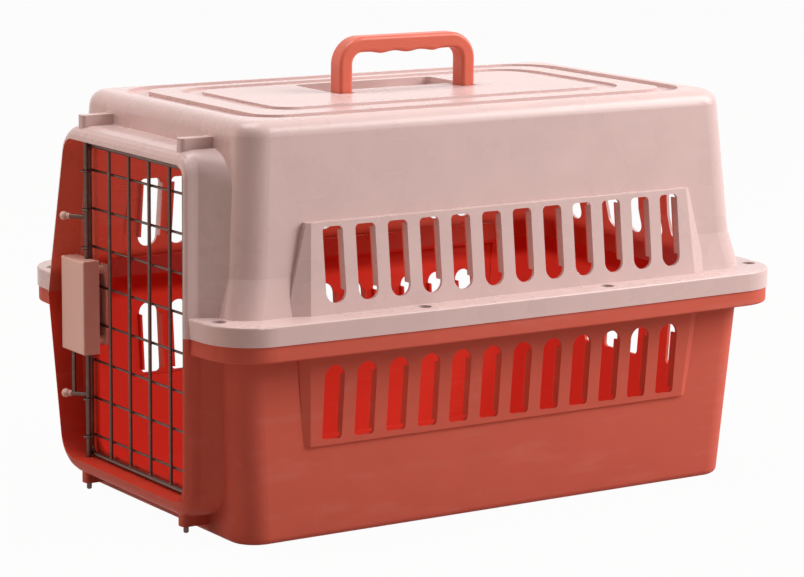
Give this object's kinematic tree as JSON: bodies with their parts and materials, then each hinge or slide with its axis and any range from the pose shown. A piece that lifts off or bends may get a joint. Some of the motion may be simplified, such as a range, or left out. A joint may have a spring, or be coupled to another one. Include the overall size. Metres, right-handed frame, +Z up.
{
  "type": "pet carrier",
  "caption": "Two-shell plastic pet carrier with slotted side grilles, a folding top handle and a hinged wire door with a squeeze latch.",
  "frame": {"origin": "middle of the base, on the surface the carrier stands on", "axes": "+Z up, -Y out of the door, +X to the right of someone looking in through the door"},
  "size_m": [0.336, 0.514, 0.3495],
  "materials": {
    "pink_plastic": "pale pink moulded plastic, soft sheen",
    "coral_plastic": "coral red moulded plastic, soft sheen",
    "handle_plastic": "coral moulded plastic, soft sheen",
    "cover_plastic": "dull beige pink moulded plastic",
    "wire_steel": "dark grey coated wire",
    "zinc_steel": "zinc plated"
  },
  "bodies": {
    "carrier": {"upper_shell": "pink_plastic", "lower_shell": "coral_plastic", "flange_screws": "zinc_steel", "flange_nuts": "zinc_steel", "handle_pin_front": "zinc_steel", "handle_pin_rear": "zinc_steel"},
    "door": {"door_frame": "wire_steel", "hinge_rod": "wire_steel", "latch_cover": "cover_plastic", "latch_back_plate": "cover_plastic", "latch_screws": "zinc_steel", "upper_latch_spring": "zinc_steel", "lower_latch_spring": "zinc_steel", "door_upright_1": "wire_steel", "door_upright_2": "wire_steel", "door_upright_3": "wire_steel", "door_upright_4": "wire_steel", "door_cross_wire_1": "wire_steel", "door_cross_wire_2": "wire_steel", "door_cross_wire_3": "wire_steel", "door_cross_wire_4": "wire_steel", "door_cross_wire_5": "wire_steel", "door_cross_wire_6": "wire_steel", "door_cross_wire_7": "wire_steel", "door_cross_wire_8": "wire_steel"},
    "upper_latch": {"upper_latch_rod": "wire_steel"},
    "lower_latch": {"lower_latch_rod": "wire_steel"},
    "handle": {"handle": "handle_plastic"}
  },
  "joints": [
    {"name": "door_swing", "type": "hinge", "parent": "carrier", "child": "door", "pos_m": [0.078, -0.23945, 0.15], "axis": [0, 0, 1], "range_deg": [0, 120]},
    {"name": "upper_latch_slide", "type": "slide", "parent": "door", "child": "upper_latch", "axis": [0, 0, -1], "range_m": [0, 0.012], "stiffness_N_per_m": 200, "springref_m": -0.01, "deforming": ["upper_latch_spring"]},
    {"name": "lower_latch_slide", "type": "slide", "parent": "door", "child": "lower_latch", "axis": [0, 0, 1], "range_m": [0, 0.026], "stiffness_N_per_m": 100, "springref_m": -0.015, "deforming": ["lower_latch_spring"]},
    {"name": "handle_fold", "type": "hinge", "parent": "carrier", "child": "handle", "pos_m": [-0.004, 0, 0.298], "axis": [0, -1, 0], "range_deg": [0, 90]}
  ]
}
